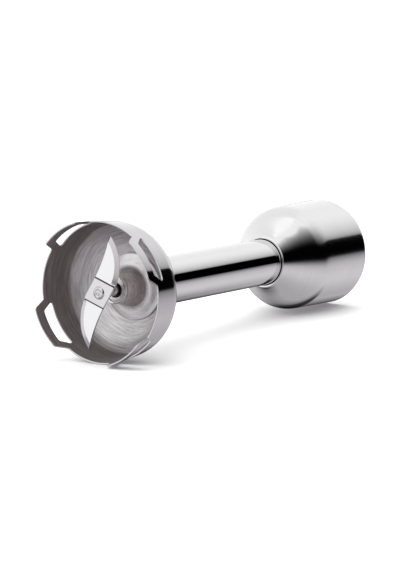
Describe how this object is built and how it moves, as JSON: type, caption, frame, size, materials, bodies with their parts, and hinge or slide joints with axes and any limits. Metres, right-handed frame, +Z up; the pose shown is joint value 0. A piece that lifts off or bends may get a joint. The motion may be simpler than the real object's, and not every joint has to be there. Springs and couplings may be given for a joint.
{
  "type": "immersion blender shaft",
  "caption": "Detachable steel shaft of an immersion blender: bell guard with windowed tabs, S-shaped blade on a turning shaft, plain tube and a socket for the motor handle.",
  "frame": {"origin": "on the shaft's axis, in the mouth of the socket that the motor handle plugs into", "axes": "+Y along the shaft from the blade to the mouth of the socket, +Z up as the shaft lies on a table, +X to the right seen from the blade"},
  "size_m": [0.065, 0.194, 0.065],
  "materials": {
    "guard_steel": "polished outside, brushed inside",
    "hub_steel": "turned",
    "seal_rubber": "matt",
    "bush_bronze": "sintered",
    "spring_steel": "oiled",
    "tube_steel": "polished",
    "inner_plastic": "moulded",
    "housing_steel": "polished",
    "bearing_steel": "ground",
    "socket_plastic": "moulded",
    "screw_steel": "zinc plated",
    "cage_brass": "pressed",
    "shaft_steel": "ground",
    "dog_plastic": "moulded",
    "blade_steel": "satin"
  },
  "bodies": {
    "shaft_body": {"blade_guard": "guard_steel", "bearing_hub": "hub_steel", "seal_cap": "hub_steel", "lip_seal": "seal_rubber", "lower_bush": "bush_bronze", "bush_clip": "spring_steel", "shaft_tube": "tube_steel", "tube_guides": "inner_plastic", "coupling_housing": "housing_steel", "bearing_carrier": "inner_plastic", "bearing_outer_race": "bearing_steel", "bearing_clip": "spring_steel", "coupling_insert": "socket_plastic", "insert_screws": "screw_steel"},
    "ball_cage": {"bearing_balls": "bearing_steel", "bearing_cage": "cage_brass"},
    "rotor": {"bearing_inner_race": "bearing_steel", "drive_shaft": "shaft_steel", "shaft_clips": "spring_steel", "thrust_washer": "shaft_steel", "drive_dog": "dog_plastic", "dog_pin": "shaft_steel", "blade_collar": "shaft_steel", "blade_rivet": "blade_steel", "blade": "blade_steel"}
  },
  "joints": [
    {"name": "blade_spin", "type": "hinge", "parent": "shaft_body", "child": "rotor", "pos_m": [0, 0, 0], "axis": [0, -1, 0], "continuous": true},
    {"name": "ball_cage_spin", "type": "hinge", "parent": "shaft_body", "child": "ball_cage", "pos_m": [0, 0, 0], "axis": [0, -1, 0], "continuous": true}
  ],
  "couplings": [
    {"joint": "ball_cage_spin", "follows": "blade_spin", "ratio": 0.3585}
  ]
}
